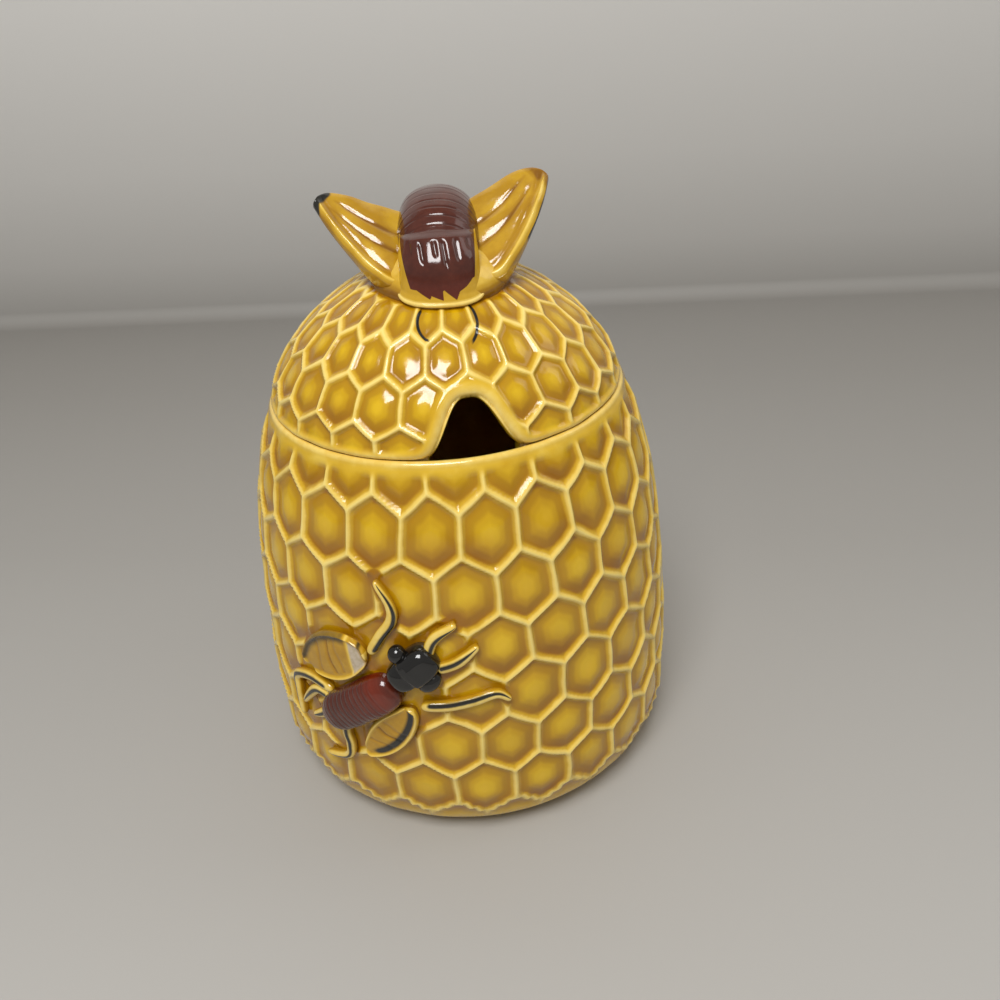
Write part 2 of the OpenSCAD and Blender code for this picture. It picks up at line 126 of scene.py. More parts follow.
def glazed(name, paint):
    """A glossy glaze. paint(coat) gives its base colour, its roughness and its fine height
    in metres, each as a coat or as one plain value."""
    material = bpy.data.materials.new(name)
    material.use_nodes = True
    tree = material.node_tree
    shader = tree.nodes["Principled BSDF"]
    colour, rough, height = paint(Coat(tree))
    for socket, value in (("Base Color", colour), ("Roughness", rough)):
        if isinstance(value, Coat):
            tree.links.new(value.socket, shader.inputs[socket])
        else:
            shader.inputs[socket].default_value = value
    bump = height.node("ShaderNodeBump", {}, {"Height": height, "Distance": 1.0, "Strength": 1.0})
    tree.links.new(bump.socket, shader.inputs["Normal"])
    shader.inputs["IOR"].default_value = 1.5
    shader.inputs["Coat Weight"].default_value = 0.35
    shader.inputs["Coat Roughness"].default_value = 0.04
    return material


def piece(name, points, faces, material, body, nodes, maps={}):
    """One mesh from an array of points in millimetres and an array of faces, with named
    values per point, seated on a CAD body in place of that body's plain nodes. Points that
    meet at a pole become one."""
    mesh = bpy.data.meshes.new(name)
    mesh.from_pydata(points * 0.001, [], faces)
    mesh.polygons.foreach_set("use_smooth", np.ones(len(mesh.polygons), bool))
    corners = np.empty(len(mesh.loops), np.int32)
    mesh.loops.foreach_get("vertex_index", corners)
    for key, values in maps.items():
        if values.ndim == 2:
            place = values[corners].reshape(len(mesh.polygons), -1, 2).astype(np.float32)
            place[..., 0] += 24 * (place[..., 0] < place[..., 0].max(1)[:, None] - 12)
            mesh.uv_layers.new(name=key).uv.foreach_set("vector", place.ravel())
        else:
            mesh.attributes.new(key, "FLOAT", "POINT").data.foreach_set("value", values)
    joined = bmesh.new()
    joined.from_mesh(mesh)
    bmesh.ops.remove_doubles(joined, verts=joined.verts, dist=1e-6)
    joined.to_mesh(mesh)
    joined.free()
    mesh.materials.append(material)
    made = bpy.data.objects.new(name, mesh)
    bpy.context.scene.collection.objects.link(made)
    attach(made, body)
    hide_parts(*nodes)
    return made


def woven(rows, columns, round_rows=False, round_columns=True):
    """Faces of a grid of points that is stored row by row. Each face joins a point to the
    next one in its row and to the two beyond them in the next row, and a round direction
    joins its last line back to its first."""
    i = np.arange(rows if round_rows else rows - 1)[:, None]
    j = np.arange(columns if round_columns else columns - 1)[None, :]
    near, far = i * columns, (i + 1) % rows * columns
    left, right = j, (j + 1) % columns
    return np.stack([near + left, near + right, far + right, far + left], -1).reshape(-1, 4)


def smooth(value, low, high):
    """0 below low, 1 above high, and 3t^2 - 2t^3 between."""
    t = np.clip((value - low) / (high - low), 0, 1)
    return t * t * (3 - 2 * t)


def drift(x, y, z, size, seed, waves=9):
    """Slow random unevenness from -1 to 1: a sum of sine waves in fixed random directions,
    each about size millimetres long."""
    dice = np.random.default_rng(seed)
    total = np.zeros(np.broadcast(x, y, z).shape)
    for direction, phase in zip(dice.normal(size=(waves, 3)), dice.uniform(0, 7, waves)):
        direction = direction / np.linalg.norm(direction) * 2 * np.pi / size
        direction *= dice.uniform(0.7, 1.4)
        total += np.sin(x * direction[0] + y * direction[1] + z * direction[2] + phase)
    return total / np.sqrt(waves / 2) / 2


def comb(across, up, corner=0.05):
    """Place in a honeycomb of six-sided cells that stand on their points: 0 in the middle of
    a cell and 0.5 on the ridge between two. Across counts cells along a row and up counts
    rows. Every second row is half a cell over, and a cell's reach is the largest of its
    distance across and half of that plus three quarters of its distance up."""
    def reach(a, b):
        a, b = np.abs(a - np.round(a)), np.abs(b - 2 * np.round(b / 2))
        slant = a / 2 + 0.75 * b
        blend = np.clip(corner - np.abs(a - slant), 0, None)
        return np.maximum(a, slant) + blend ** 2 / corner / 4
    return np.minimum(reach(across, up), reach(across - 0.5, up - 1))


POT_H, BELLY_R, BELLY_Z, MOUTH_R = 81.5, 44.0, 12.0, 32.4
ROW_Z = [2.9, 14.6, 25.2, 36.7, 47.7, 58.4, 69.6, 80.0]     # middles of the rows of cells


def wall_r(z):
    """Radius of the wall at its ridges: a quarter ellipse up from the foot, then a lean that
    grows with the square of the height, and a roll of the shoulder with its seventh power."""
    t = (z - BELLY_Z) / (POT_H - BELLY_Z)
    low = BELLY_R - 9.5 * (1 - np.sqrt(1 - np.clip(-z / BELLY_Z + 1, 0, 1) ** 2))
    return np.where(z < BELLY_Z, low, BELLY_R - 6.8 * t ** 2 - 3.2 * np.abs(t) ** 7)


# The bee on the wall: where its middle is, the slope of its body, the middle lines of its
# legs and feelers, and the stretches its body, head, eyes and wings cover with half widths.
# Places are along and across the bee in millimetres, as on_wall takes them.
CRAWL_TURN, CRAWL_Z, CRAWL_SLOPE = math.radians(-37), 34.4, math.radians(37)
FRONT_LEGS = [[(9.6, 8.2), (14.0, 10.0), (18.2, 11.4), (20.0, 14.0), (20.4, 19.0)],
              [(10.4, -5.4), (14.4, -8.2), (18.8, -10.4), (22.8, -12.2), (23.8, -15.2)]]
HIND_LEGS = [[(-5.0, 4.6), (-9.4, 8.6), (-14.8, 9.8), (-17.4, 7.0), (-21.3, 1.4)],
             [(-6.8, 3.8), (-9.7, 5.9), (-13.6, 5.4), (-17.4, 4.2)],
             [(-7.0, -1.2), (-9.3, -4.2), (-10.6, -6.6), (-13.6, -8.8), (-20.0, -7.2)],
             [(-9.4, 1.4), (-12.6, 1.0), (-16.0, 1.2)]]
FEELERS = [[(18.8, 2.2), (22.4, 4.2), (27.4, 3.9)], [(18.6, -1.0), (22.4, -2.2), (27.4, -2.1)]]
BULK = [((-6.5, 0.7), (7.0, 0.7), 4.0), ((12.5, 2.0), (17.5, 2.0), 3.3),
        ((15.3, 6.0), (15.7, -2.2), 1.6), ((5.0, 10.0), (-2.0, 11.6), 4.8),
        ((5.0, -6.3), (-4.0, -8.7), 3.3)]


def on_wall(u, v, out):
    """Points on the wall of the pot: u runs along the bee towards its head and v across it,
    both in millimetres over the wall, and out is the height above the ridges of the comb."""
    z = CRAWL_Z + u * math.sin(CRAWL_SLOPE) + v * math.cos(CRAWL_SLOPE)
    a = CRAWL_TURN + (u * math.cos(CRAWL_SLOPE) - v * math.sin(CRAWL_SLOPE)) / wall_r(CRAWL_Z)
    r = wall_r(z) + out
    return np.stack([r * np.sin(a), -r * np.cos(a), z], -1)


def beside_bee(a, z):
    """Distance over the wall from the bee's body, wings and limbs: the least distance to a
    few straight stretches, each less the half width of what lies along it."""
    s, t = ((a - CRAWL_TURN + np.pi) % (2 * np.pi) - np.pi) * wall_r(CRAWL_Z), z - CRAWL_Z
    u = s * math.cos(CRAWL_SLOPE) + t * math.sin(CRAWL_SLOPE)
    v = t * math.cos(CRAWL_SLOPE) - s * math.sin(CRAWL_SLOPE)
    limbs = [(p, q, 0.8) for line in FRONT_LEGS + HIND_LEGS + FEELERS
             for p, q in zip(line, line[1:])]
    least = np.full(np.broadcast(u, v).shape, 99.0)
    for p, q, half_width in BULK + limbs:
        du, dv = q[0] - p[0], q[1] - p[1]
        k = np.clip(((u - p[0]) * du + (v - p[1]) * dv) / (du * du + dv * dv), 0, 1)
        least = np.minimum(least, np.hypot(u - p[0] - k * du, v - p[1] - k * dv) - half_width)
    return least


def relief(edge, width):
    """Height of a cell's surface below its ridges, in millimetres, from the distance to the
    nearest ridge: a thin round ridge, a moat beside it, and a low pillow in the middle."""
    ridge = np.exp(-(edge / 0.50) ** 2)
    pillow = smooth(edge, 0.10 * width, 0.38 * width)
    return (-0.85 + 0.85 * ridge + 0.40 * pillow) * np.clip(width / 9, 0, 1)


def glaze_paint(coat):
    """Honey glaze over honeycomb: cream on the thin ridges, dark amber where it pools beside
    them, and gold over the pillow in the middle of each cell. The map named comb holds the
    place in the comb, width the cell's width in millimetres, plain how smooth the clay is
    there, bare how thin the glaze is on an edge, pool how thick it is in a low place, and
    drown how far it covers the ridges."""
    place = coat.node("ShaderNodeUVMap", {"uv_map": "comb"})
    split = coat.node("ShaderNodeSeparateXYZ", {}, {"Vector": place})
    across, up = split, Coat(coat.tree, split.socket.node.outputs[1])

    def value(name):
        return coat.node("ShaderNodeAttribute", {"attribute_name": name}, out=2)

    def reach(a, b):
        a, b = abs(a.math("WRAP", 0.5, -0.5)), abs(b.math("WRAP", 1, -1))
        return a.math("SMOOTH_MAX", a / 2 + b * 0.75, 0.07)

    width, plain, pool, bare, drown = map(value, ("width", "plain", "pool", "bare", "drown"))
    middle = reach(across, up).math("MINIMUM", reach(across + 0.5, up + 1))
    fine = coat.noise(0.0016, 3.0, 0.6)
    blot = coat.noise(0.006, 2.0, 0.5)
    edge = (0.5 - middle) * width + (fine - 0.5) * 0.3 + (blot - 0.5) * 0.5
    pillow = (edge / (width * 0.6 + 4.0)).math("MAXIMUM", drown * 0.15)
    moat = pillow.ramp([
        (0.00, srgb(247, 220, 126)), (0.026, srgb(240, 206, 100)), (0.060, srgb(208, 164, 32)),
        (0.110, srgb(180, 132, 2)), (0.20, srgb(184, 138, 2)), (0.29, srgb(206, 162, 8)),
        (0.40, srgb(222, 180, 22)), (0.5, srgb(226, 184, 30))])
    thick = coat.node("ShaderNodeMix", {"data_type": "RGBA", "blend_type": "MULTIPLY"},
                      {"Factor": pool * pillow.step(0.03, 0.11), "A": moat,
                       "B": (*srgb(214, 192, 110), 1)}, out=2)
    band = (blot * 0.8 + fine * 0.2).ramp([
        (0.3, srgb(208, 162, 22)), (0.5, srgb(220, 178, 44)), (0.7, srgb(232, 196, 76))])
    colour = band.over(thick, plain)
    rim = fine.ramp([(0.3, srgb(240, 206, 108)), (0.7, srgb(248, 222, 134))])
    colour = rim.over(colour, bare)
    rough = 0.10 + fine * 0.08
    crest = (1 - edge.step(0.0, 1.1)) * (1 - plain)
    height = crest * 0.00018 + blot * 0.00012 + fine * 0.00002
    return colour, rough, height


honey_glaze = glazed("honey_glaze", glaze_paint)


turns = 544
turn = np.linspace(0, 2 * np.pi, turns, endpoint=False)           # from -Y towards +X
foot = BELLY_Z * (1 - np.cos(np.linspace(0, np.pi / 2, 14)))
wall = np.linspace(BELLY_Z, 80.2, 132)[1:]
lip = np.linspace(0, np.pi, 9)
hollow_z = np.linspace(79.5, 14, 12)
inner = np.linspace(0, np.pi / 2, 6)
profile = np.concatenate([
    [(0, 1.5), (12, 1.5), (24, 1.5), (30.4, 1.5), (31.0, 0.9), (31.2, 0.0), (34.3, 0.0)],
    np.stack([wall_r(foot[1:]), foot[1:]], -1),
    np.stack([wall_r(wall), wall], -1),
    np.stack([33.25 + 0.85 * np.cos(lip), 80.65 + 0.85 * np.sin(lip)], -1),
    np.stack([np.where(hollow_z > 72, MOUTH_R, wall_r(hollow_z) - 4.0), hollow_z], -1),
    np.stack([wall_r(8.0) - 12 + 8 * np.cos(inner), 13.5 - 8 * np.sin(inner)], -1),
    [(20, 5.5), (0, 5.5)]])
outer = slice(7, 7 + len(foot) - 1 + len(wall))
R, A = np.meshgrid(profile[:, 0], turn, indexing="ij")
Z = np.repeat(profile[:, 1:], turns, 1)
X, Y = R * np.sin(A), -R * np.cos(A)
across = (np.degrees(A) - 6.9) / 15 + 0.032 * drift(X, Y, Z, 15, 3)
up = np.interp(Z, ROW_Z, np.arange(len(ROW_Z)) - 1) + 0.030 * drift(X, Y, Z, 14, 4)
width = np.maximum(2 * np.pi * R / 24, 0.05)
edge = (0.5 - comb(across, up)) * width
outside = np.zeros(len(profile), bool)
outside[outer] = True
plain = np.where(outside[:, None],
                 np.maximum(1 - smooth(Z, 5.0, 7.6), smooth(Z, 78.4, 80.0)), 1.0)
uneven = drift(X, Y, Z, 9, 5) * outside[:, None] * smooth(Z, 2, 6)
apart = beside_bee(A, Z) * outside[:, None] + 9 * (1 - outside[:, None])
inward = relief(edge, width) * (1 - plain) - 0.3 * plain * smooth(Z, 2.5, 8)
inward = (inward + 0.75) * smooth(apart, -0.4, 2.6) - 0.75 + 0.16 * uneven
R = R + np.minimum(inward, -0.02) * outside[:, None]
sunk = smooth(np.round(up) - up, -0.15, 0.5) * 0.75
pool = np.clip(sunk + 0.3 * drift(X, Y, Z, 12, 6) + 0.6 * (1 - smooth(apart, 0, 2.2)), 0, 1)
drown = 1 - smooth(apart, 0.2, 1.8)
bare = smooth(Z, 80.4, 81.2) * (A * 0 + 0.6) + (1 - smooth(Z, 0.3, 2.2)) * outside[:, None] * 0.5
points = np.stack([R * np.sin(A), -R * np.cos(A), Z], -1).reshape(-1, 3)
piece("pot_shell", points, woven(len(profile), turns), honey_glaze,
      "pot", ["pot"],
      {"comb": np.stack([across, up], -1).reshape(-1, 2), "width": width.ravel(),
       "plain": plain.ravel(), "pool": pool.ravel(), "bare": bare.ravel(),
       "drown": drown.ravel()})


# The lid
# The lid is a second casting: a honeycombed dome that sits loose on the pot's rim, with a
# notch cut through its front while the clay was soft and wiped round with a wet finger. The
# ring under it drops into the mouth. No hinge or pin holds it.

LID_R, DOME_H, FULL = 33.7, 24.5, 1.64
LID_ROW_Z = [75.0, 82.4, 89.5, 95.6, 100.5, 104.0]
HOLLOW_R, HOLLOW_H = 28.7, 20.5
NOTCH_X, NOTCH_H = -0.6, 8.9
RING_TURNS = 200                                   # points along the ring under the lid


def dome_z(x, y):
    """Height of the dome over a place: (r / radius)^1.64 + (z / height)^1.64 = 1."""
    r = np.clip(np.hypot(x, y) / LID_R, 0, 1)
    return POT_H + DOME_H * (1 - r ** FULL) ** (1 / FULL)


def notch_z(x):
    """Height of the lid's lower edge above the rim: a bell with a broad top and steep sides,
    which falls off with the 3.2th power of the distance from its middle."""
    return NOTCH_H * np.exp(-(np.abs(x - NOTCH_X) / 5.9) ** 3.2)


spread = np.linspace(-1, 1, 181)[1:-1] * 17.5
turn = np.radians(np.concatenate([spread, np.linspace(17.5, 342.5, 351)]))
turn = turn[np.argsort(turn % (2 * np.pi))] % (2 * np.pi)
edge_x = LID_R * np.sin(turn)
front = np.cos(turn) > 0
lift = np.where(front, notch_z(edge_x), 0.0)
share = np.concatenate([np.linspace(0, 0.1, 12)[:-1], np.linspace(0.1, 1, 95)])


def dome_grid(radius, height, share, lift):
    """Points of a dome over the grid of heights and turns. Its lowest line is the edge, which
    the notch lifts, and the lines above it close up evenly towards the apex along a
    quarter circle of angles."""
    start = np.arcsin(np.clip(lift / height, 0, 1) ** (FULL / 2))
    a = start + (np.pi / 2 - start) * share
    return radius * np.cos(a) ** (2 / FULL), POT_H + height * np.sin(a) ** (2 / FULL)


R, Z = dome_grid(LID_R, DOME_H, share[:, None], lift[None, :])
R[-1], Z[-1] = 0, POT_H + DOME_H
A = np.broadcast_to(turn[None, :], R.shape)
X, Y = R * np.sin(A), -R * np.cos(A)
around = (LID_R * (turn + np.pi)) % (2 * np.pi * LID_R) - np.pi * LID_R
beside = np.abs(around) < 16
rim = np.stack([around, POT_H + lift], -1)[beside][::2]
close = (share < 0.5)[:, None] & beside[None, :]
flat = np.stack([R / LID_R * around[None, :], Z], -1)[close]
gap = np.clip(Z - POT_H, 0, 9)
gap[close] = np.minimum(gap[close], np.sqrt(((flat[:, None, :] - rim) ** 2).sum(-1).min(-1)))
by_notch = np.exp(-(np.abs(X - NOTCH_X) / 10.5) ** 4) * (Y < 0) * (Z < POT_H + 13)
across = (np.degrees(A) - 7.5) / 15 + 0.034 * drift(X, Y, Z, 14, 13)
across -= np.interp(Z, LID_ROW_Z, [0, 0, -0.02, 0.02, 0.06, 0.1])
up = np.interp(Z, LID_ROW_Z, np.arange(6) - 1) + 0.03 * drift(X, Y, Z, 13, 14)
width = np.maximum(2 * np.pi * R / 24, 0.05)
edge = (0.5 - comb(across, up)) * width
fillet = 0.9 + 1.0 * by_notch
roll = fillet * (1 - np.sqrt(1 - (1 - np.clip(gap / fillet, 0, 1)) ** 2))
plain = 1 - smooth(gap, 0.9 + 0.9 * by_notch, 1.7 + 1.5 * by_notch)
plain = np.maximum(plain, smooth(Z, 103.2, 104.2))
apart = np.hypot(X - 0.7, Y + 2.8) - 12.4                    # from the mound under the bee
inward = relief(edge, width) * (1 - plain) + 0.12 * drift(X, Y, Z, 8, 15) - 0.12
inward = (inward + 0.7) * smooth(apart, -0.5, 2.2) - 0.7
lean = np.arctan2(0.6 * LID_R * (Z - POT_H), DOME_H * R)
R = R + (np.minimum(inward, 0) - roll) * np.cos(lean)
Z = Z + (np.minimum(inward, 0) - roll) * np.sin(lean) * 0.8
sunk = smooth(np.round(up) - up, -0.15, 0.5) * 0.6
pool = np.clip(sunk + 0.3 * drift(X, Y, Z, 12, 16) + 1 - smooth(apart, 0.2, 2.6), 0, 1)
drown = 1 - smooth(apart, 0.2, 1.8)
bare = (1 - smooth(gap, 0.2, 1.5 + 0.6 * by_notch)) * 0.75
R[-1] = 0

hollow_r, hollow_z = dome_grid(HOLLOW_R, HOLLOW_H, np.linspace(0, 1, 26)[:, None],
                               np.clip(lift, 0, 20)[None, :])
hollow_r[-1] = 0
nose = np.linspace(0, np.pi, 9)[1:-1, None]
low_r = (R[0] + hollow_r[0]) / 2 + (R[0] - hollow_r[0]) / 2 * np.cos(nose)
low_z = (Z[0] + hollow_z[0]) / 2 + (Z[0] - hollow_z[0]) / 2 * np.cos(nose)
low_z = np.maximum(low_z - (0.7 * (lift > 0.5) + 0.12) * np.sin(nose), POT_H + 0.02)
R = np.concatenate([R[::-1], low_r, hollow_r])
Z = np.concatenate([Z[::-1], low_z, hollow_z])
A = np.broadcast_to(turn[None, :], R.shape)


def fill(values, rest):
    """The dome's values, then one value for the edge and the hollow under it."""
    return np.concatenate([values[::-1], np.full((len(R) - len(values), len(turn)), rest)])


points = np.stack([R * np.sin(A), -R * np.cos(A), Z], -1).reshape(-1, 3)
shell_faces = woven(*R.shape)[:, ::-1]

# The ring under the lid is turned on its own, and stops at both sides of the notch.
ring_turn = np.radians(np.linspace(13.5, 344.5, RING_TURNS))
ring = np.array([(28.7, 82.5), (28.7, 77.2), (29.1, 76.6), (29.8, 76.5), (30.8, 76.5),
                 (31.5, 76.6), (31.9, 77.2), (31.9, 82.5)])
squeeze = np.ones((1, RING_TURNS))
squeeze[:, [0, -1]] = 0.75
ring_r = 30.3 + (ring[:, :1] - 30.3) * squeeze
ring_z = np.broadcast_to(ring[:, 1:], ring_r.shape)
ring_points = np.stack([ring_r * np.sin(ring_turn), -ring_r * np.cos(ring_turn), ring_z], -1)
ring_faces = woven(*ring_r.shape, round_rows=True, round_columns=False)
ends = np.array([(0, 1, 6, 7), (1, 2, 5, 6), (2, 3, 4, 5)]) * RING_TURNS
lid_faces = np.concatenate([shell_faces, ring_faces + len(points), ends + len(points),
                            ends[:, ::-1] + len(points) + RING_TURNS - 1])
lid_maps = {key: np.concatenate([fill(values, rest).ravel(), np.full(ring_r.size, rest)])
            for key, values, rest in (("width", width, 5.0), ("plain", plain, 1.0),
                                      ("pool", pool, 0.0), ("bare", bare, 0.0),
                                      ("drown", drown, 0.0), ("across", across, 0.0),
                                      ("up", up, 0.0))}
lid_maps["comb"] = np.stack([lid_maps.pop("across"), lid_maps.pop("up")], -1)


STROKES = [(-2.38, -18.14, 3.89, -1), (-1.56, -18.35, 5.2, 1)]     # middle, radius and side


def lid_paint(coat):
    """The same honey glaze, with the bee's two feelers painted on the dome in thin black
    strokes: each is a part of a circle seen from above."""
    colour, rough, height = glaze_paint(coat)
    place = coat.node("ShaderNodeTexCoord", out=3)
    place = coat.node("ShaderNodeSeparateXYZ", {}, {"Vector": place})
    x, y = place, Coat(coat.tree, place.socket.node.outputs[1])
    ink = x.ramp([(0.0, (0.006, 0.006, 0.006))])
    for middle_x, middle_y, radius, side in STROKES:
        a, b = x * 1000 - middle_x, y * 1000 - middle_y
        off = abs((a * a + b * b).math("SQRT") - radius)
        line = (1 - off.step(0.16, 0.34)) * (a * side).step(radius * 0.62, radius * 0.74)
        colour = ink.over(colour, line)
    return colour, rough, height


piece("lid_shell", np.concatenate([points, ring_points.reshape(-1, 3)]), lid_faces,
      glazed("honey_glaze_lid", lid_paint), "lid", ["lid"], lid_maps)


# The mound under the bee on the lid
# A pat of soft clay, pressed onto the dome a little in front of its apex while both were
# leather hard, to carry the bee. The glaze pools dark in the angle between the two.

BEE_TURN, BEE_SIDE = math.radians(-10), 1.2
MOUND_R, MOUND_Y, MOUND_EDGE_Z, MOUND_TOP_Z = 12.8, -2.8, -3.9, 3.0
SUNK = -12.0                                       # a height well inside the dome


def on_dome(x, y, z):
    """The bee's own frame has its origin on the apex and its head along -Y. Turns its points
    into the object's frame, and keeps what is sunk in the dome within the dome's clay."""
    X = BEE_SIDE + x * math.cos(BEE_TURN) - y * math.sin(BEE_TURN)
    Y = x * math.sin(BEE_TURN) + y * math.cos(BEE_TURN)
    return np.stack([X, Y, np.maximum(POT_H + DOME_H + z, dome_z(X, Y) - 1.2)], -1)


def above_dome(points):
    """Height of points above the dome, in millimetres."""
    return points[..., 2] - dome_z(points[..., 0], points[..., 1])


def attribute(coat, name):
    """A named value that the points of a piece carry."""
    return coat.node("ShaderNodeAttribute", {"attribute_name": name}, out=2)


def honey(depth):
    """The honey glaze over plain modelled clay: cream where it is thin, at depth 0, and dark
    amber where it pools, at depth 1."""
    return depth.ramp([
        (0.0, srgb(244, 216, 124)), (0.22, srgb(228, 190, 76)), (0.45, srgb(202, 158, 36)),
        (0.7, srgb(174, 128, 18)), (1.0, srgb(132, 86, 2))])


def relief_paint(coat):
    """Honey glaze over modelled clay, with a grey-black wash and a milky patch brushed on
    under it. The values named deep, wash and milk say how much of each a point has."""
    fine, blot = coat.noise(0.0012, 3.0, 0.6), coat.noise(0.004, 2.0, 0.5)
    colour = honey(attribute(coat, "deep") + (fine - 0.5) * 0.16 + (blot - 0.5) * 0.22)
    milk = fine.ramp([(0.3, srgb(176, 166, 150)), (0.7, srgb(206, 198, 184))])
    colour = milk.over(colour, attribute(coat, "milk"))
    wash = fine.ramp([(0.3, srgb(24, 23, 20)), (0.7, srgb(38, 37, 32))])
    colour = wash.over(colour, (attribute(coat, "wash") + (fine - 0.5) * 0.2).step(0.15, 0.85))
    return colour, 0.09 + fine * 0.08, blot * 0.00016 + fine * 0.00003


relief_glaze = glazed("honey_glaze_relief", relief_paint)


def clay(name, grids, material, body, node, slot, **maps):
    """A piece of modelled clay from one grid or a list of them. A grid holds rings of points,
    one ring after another, and is closed all round and at both ends. Each named value is
    given once, or for each point."""
    grids = grids if isinstance(grids, list) else [grids]
    faces, start = [], 0
    for grid in grids:
        quads, flat = woven(*grid.shape[:2]), grid.reshape(-1, 3)
        corner = flat[quads] - flat.mean(0)
        normal = np.cross(corner[:, 2] - corner[:, 0], corner[:, 3] - corner[:, 1])
        outward = (normal * corner.mean(1)).sum() > 0
        faces.append((quads if outward else quads[:, ::-1]) + start)
        start += len(flat)
    maps = {key: np.concatenate([
        np.broadcast_to(part, grid.shape[:-1]).astype(float).ravel()
        for part, grid in zip(values if isinstance(values, list) else [values] * len(grids), grids)])
        for key, values in maps.items()}
    points = np.concatenate([grid.reshape(-1, 3) for grid in grids])
    return piece(name, points, np.concatenate(faces), material, body, [node], maps)


rise = np.radians(np.linspace(0, 90, 40))[:, None]
around = np.radians(np.arange(0, 360, 2.5))[None, :]
reach = MOUND_R * np.cos(rise) * (1 + 0.02 * np.sin(3 * around + 1))
reach[-1] = 0
x, y = reach * np.sin(around), MOUND_Y - reach * np.cos(around)
z = MOUND_EDGE_Z + (MOUND_TOP_Z - MOUND_EDGE_Z) * np.sin(rise)
z = z + 0.25 * drift(x, y, 0 * x, 9, 21)
points = np.concatenate([on_dome(x, y, 0 * z + SUNK)[::-1], on_dome(x, y, z)])
deep = 0.30 + 0.65 * (1 - smooth(above_dome(points), 0.2, 2.4))
clay("bee_mound", points, relief_glaze, "lid", "lid_bee_mound", "honey_glaze",
     deep=deep, wash=0, milk=0)


# The body of the bee on the lid
# A roll of clay, bent over the mound with its tail end behind, scored across with a fine
# tool into rings, and cut off square over the head. It is painted brown under the glaze.

ARCH_Y, ARCH_R, BODY_R = 1.6, 10.0, 7.25           # middle and radius of the roll's bend
ARCH_Z = 10.9 - ARCH_R - BODY_R
COLLAR, TAIL, RING_STEP = -53.0, 104.0, 7.4        # degrees back from the top of the arch


def brown_paint(coat):
    """Brown underglaze with the clear honey glaze over it: rust red where it is thin on an
    edge, nearly black where it fills a groove. Where painted is 0 the honey glaze shows."""
    fine, blot = coat.noise(0.0009, 3.0, 0.6), coat.noise(0.004, 2.0, 0.5)
    deep, painted = attribute(coat, "deep"), attribute(coat, "painted")
    brown = (deep + (fine - 0.5) * 0.3 + (blot - 0.5) * 0.3).ramp([
        (0.0, srgb(142, 72, 34)), (0.25, srgb(92, 42, 28)), (0.55, srgb(72, 29, 18)),
        (1.0, srgb(44, 17, 9))])
    rust = fine.ramp([(0.0, srgb(124, 36, 6))])
    red = rust.over(brown, attribute(coat, "rust"))
    bare = honey(deep + (fine - 0.5) * 0.16 + (blot - 0.5) * 0.22)
    colour = red.over(bare, (painted + (fine - 0.5) * 0.2).step(0.4, 0.6))
    return colour, 0.10 + fine * 0.08, blot * 0.00012 + fine * 0.00003


brown_glaze = glazed("brown_glaze_painted", brown_paint)

nose = np.radians(np.linspace(0, 180, 9))
back = np.concatenate([[COLLAR + 2, COLLAR + 2], COLLAR + 1.4 - 1.4 * np.sin(nose),
                       np.linspace(COLLAR + 1.9, TAIL - 2, 300), [TAIL]])[:, None]
thick = np.concatenate([[0, 0.7], 0.92 - 0.055 * np.cos(nose), np.ones(300), [0]])[:, None]
thick = BODY_R * thick * np.sqrt(1 - np.clip(back / 132, 0, 1) ** 2)
thick -= 0.3 * smooth(-back, 20, -COLLAR) * (thick > 0)
ring = ((back - COLLAR) / RING_STEP + 0.05 * np.sin(2 * around + 1)) % 1
scored = smooth(back, COLLAR + 3, COLLAR + 5)
faint = 0.55 + 0.45 * drift(7 * np.cos(around), 0.3 * back, 0 * around, 6, 23)
groove = np.exp(-((ring - 0.5) / 0.10) ** 2) * scored * faint
edge = np.exp(-((ring - 0.33) / 0.07) ** 2) * scored * faint
r = np.where(thick > 0, thick - 0.13 * groove + 0.04 * edge, 0)
x = r * np.sign(np.cos(around)) * np.abs(np.cos(around)) ** 0.9
out = ARCH_R + r * np.sign(np.sin(around)) * np.abs(np.sin(around)) ** 0.9
x = x + 0.12 * drift(x, out, back / 4 + 0 * x, 7, 22) * (r > 0)
bow = 4.5 * (1 - (x / BODY_R) ** 2) * (1 - smooth(back, COLLAR, COLLAR + 40))
swing = np.radians(back + bow)
points = on_dome(x, ARCH_Y + out * np.sin(swing), ARCH_Z + out * np.cos(swing))
nip = np.exp(-((back - COLLAR) / 1.2) ** 2) + 0 * x
clay("bee_body", points, brown_glaze, "lid", "lid_bee_body", "brown_glaze",
     deep=0.45 + 0.3 * groove - 0.10 * edge - 0.35 * nip, painted=1, rust=0)


# The head of the bee on the lid
# A ball of clay, pushed up under the collar of the body and drawn down over the mound to a
# thin lip on the dome. Locks of hair are cut into its brow, and the brown paint ends in
# three brush tips above the lip.

HEAD_PATH = np.array([(-9.5, 5.3), (-15.2, 4.8), (-15.9, -1.5), (-16.3, -4.2)])   # y and z
HEAD_W, HEAD_LIP_W = 6.2, 7.0                      # half widths under the collar and at the lip
LOCKS = [(-4.6, 0.42, 0.6), (-2.7, 0.50, 1.0), (-0.5, 0.42, 0.8), (0.9, 0.56, 1.0), (3.0, 0.50, 0.9),
         (4.9, 0.38, 0.5)]                         # place across, where it ends, and depth
BRUSH_X = [-4.0, -1.8, -1.6, 0.4, 0.5, 2.6, 3.2, 4.4, 5.5]
BRUSH_S = [0.80, 0.93, 0.87, 0.95, 0.78, 0.955, 0.83, 0.78, 0.70]


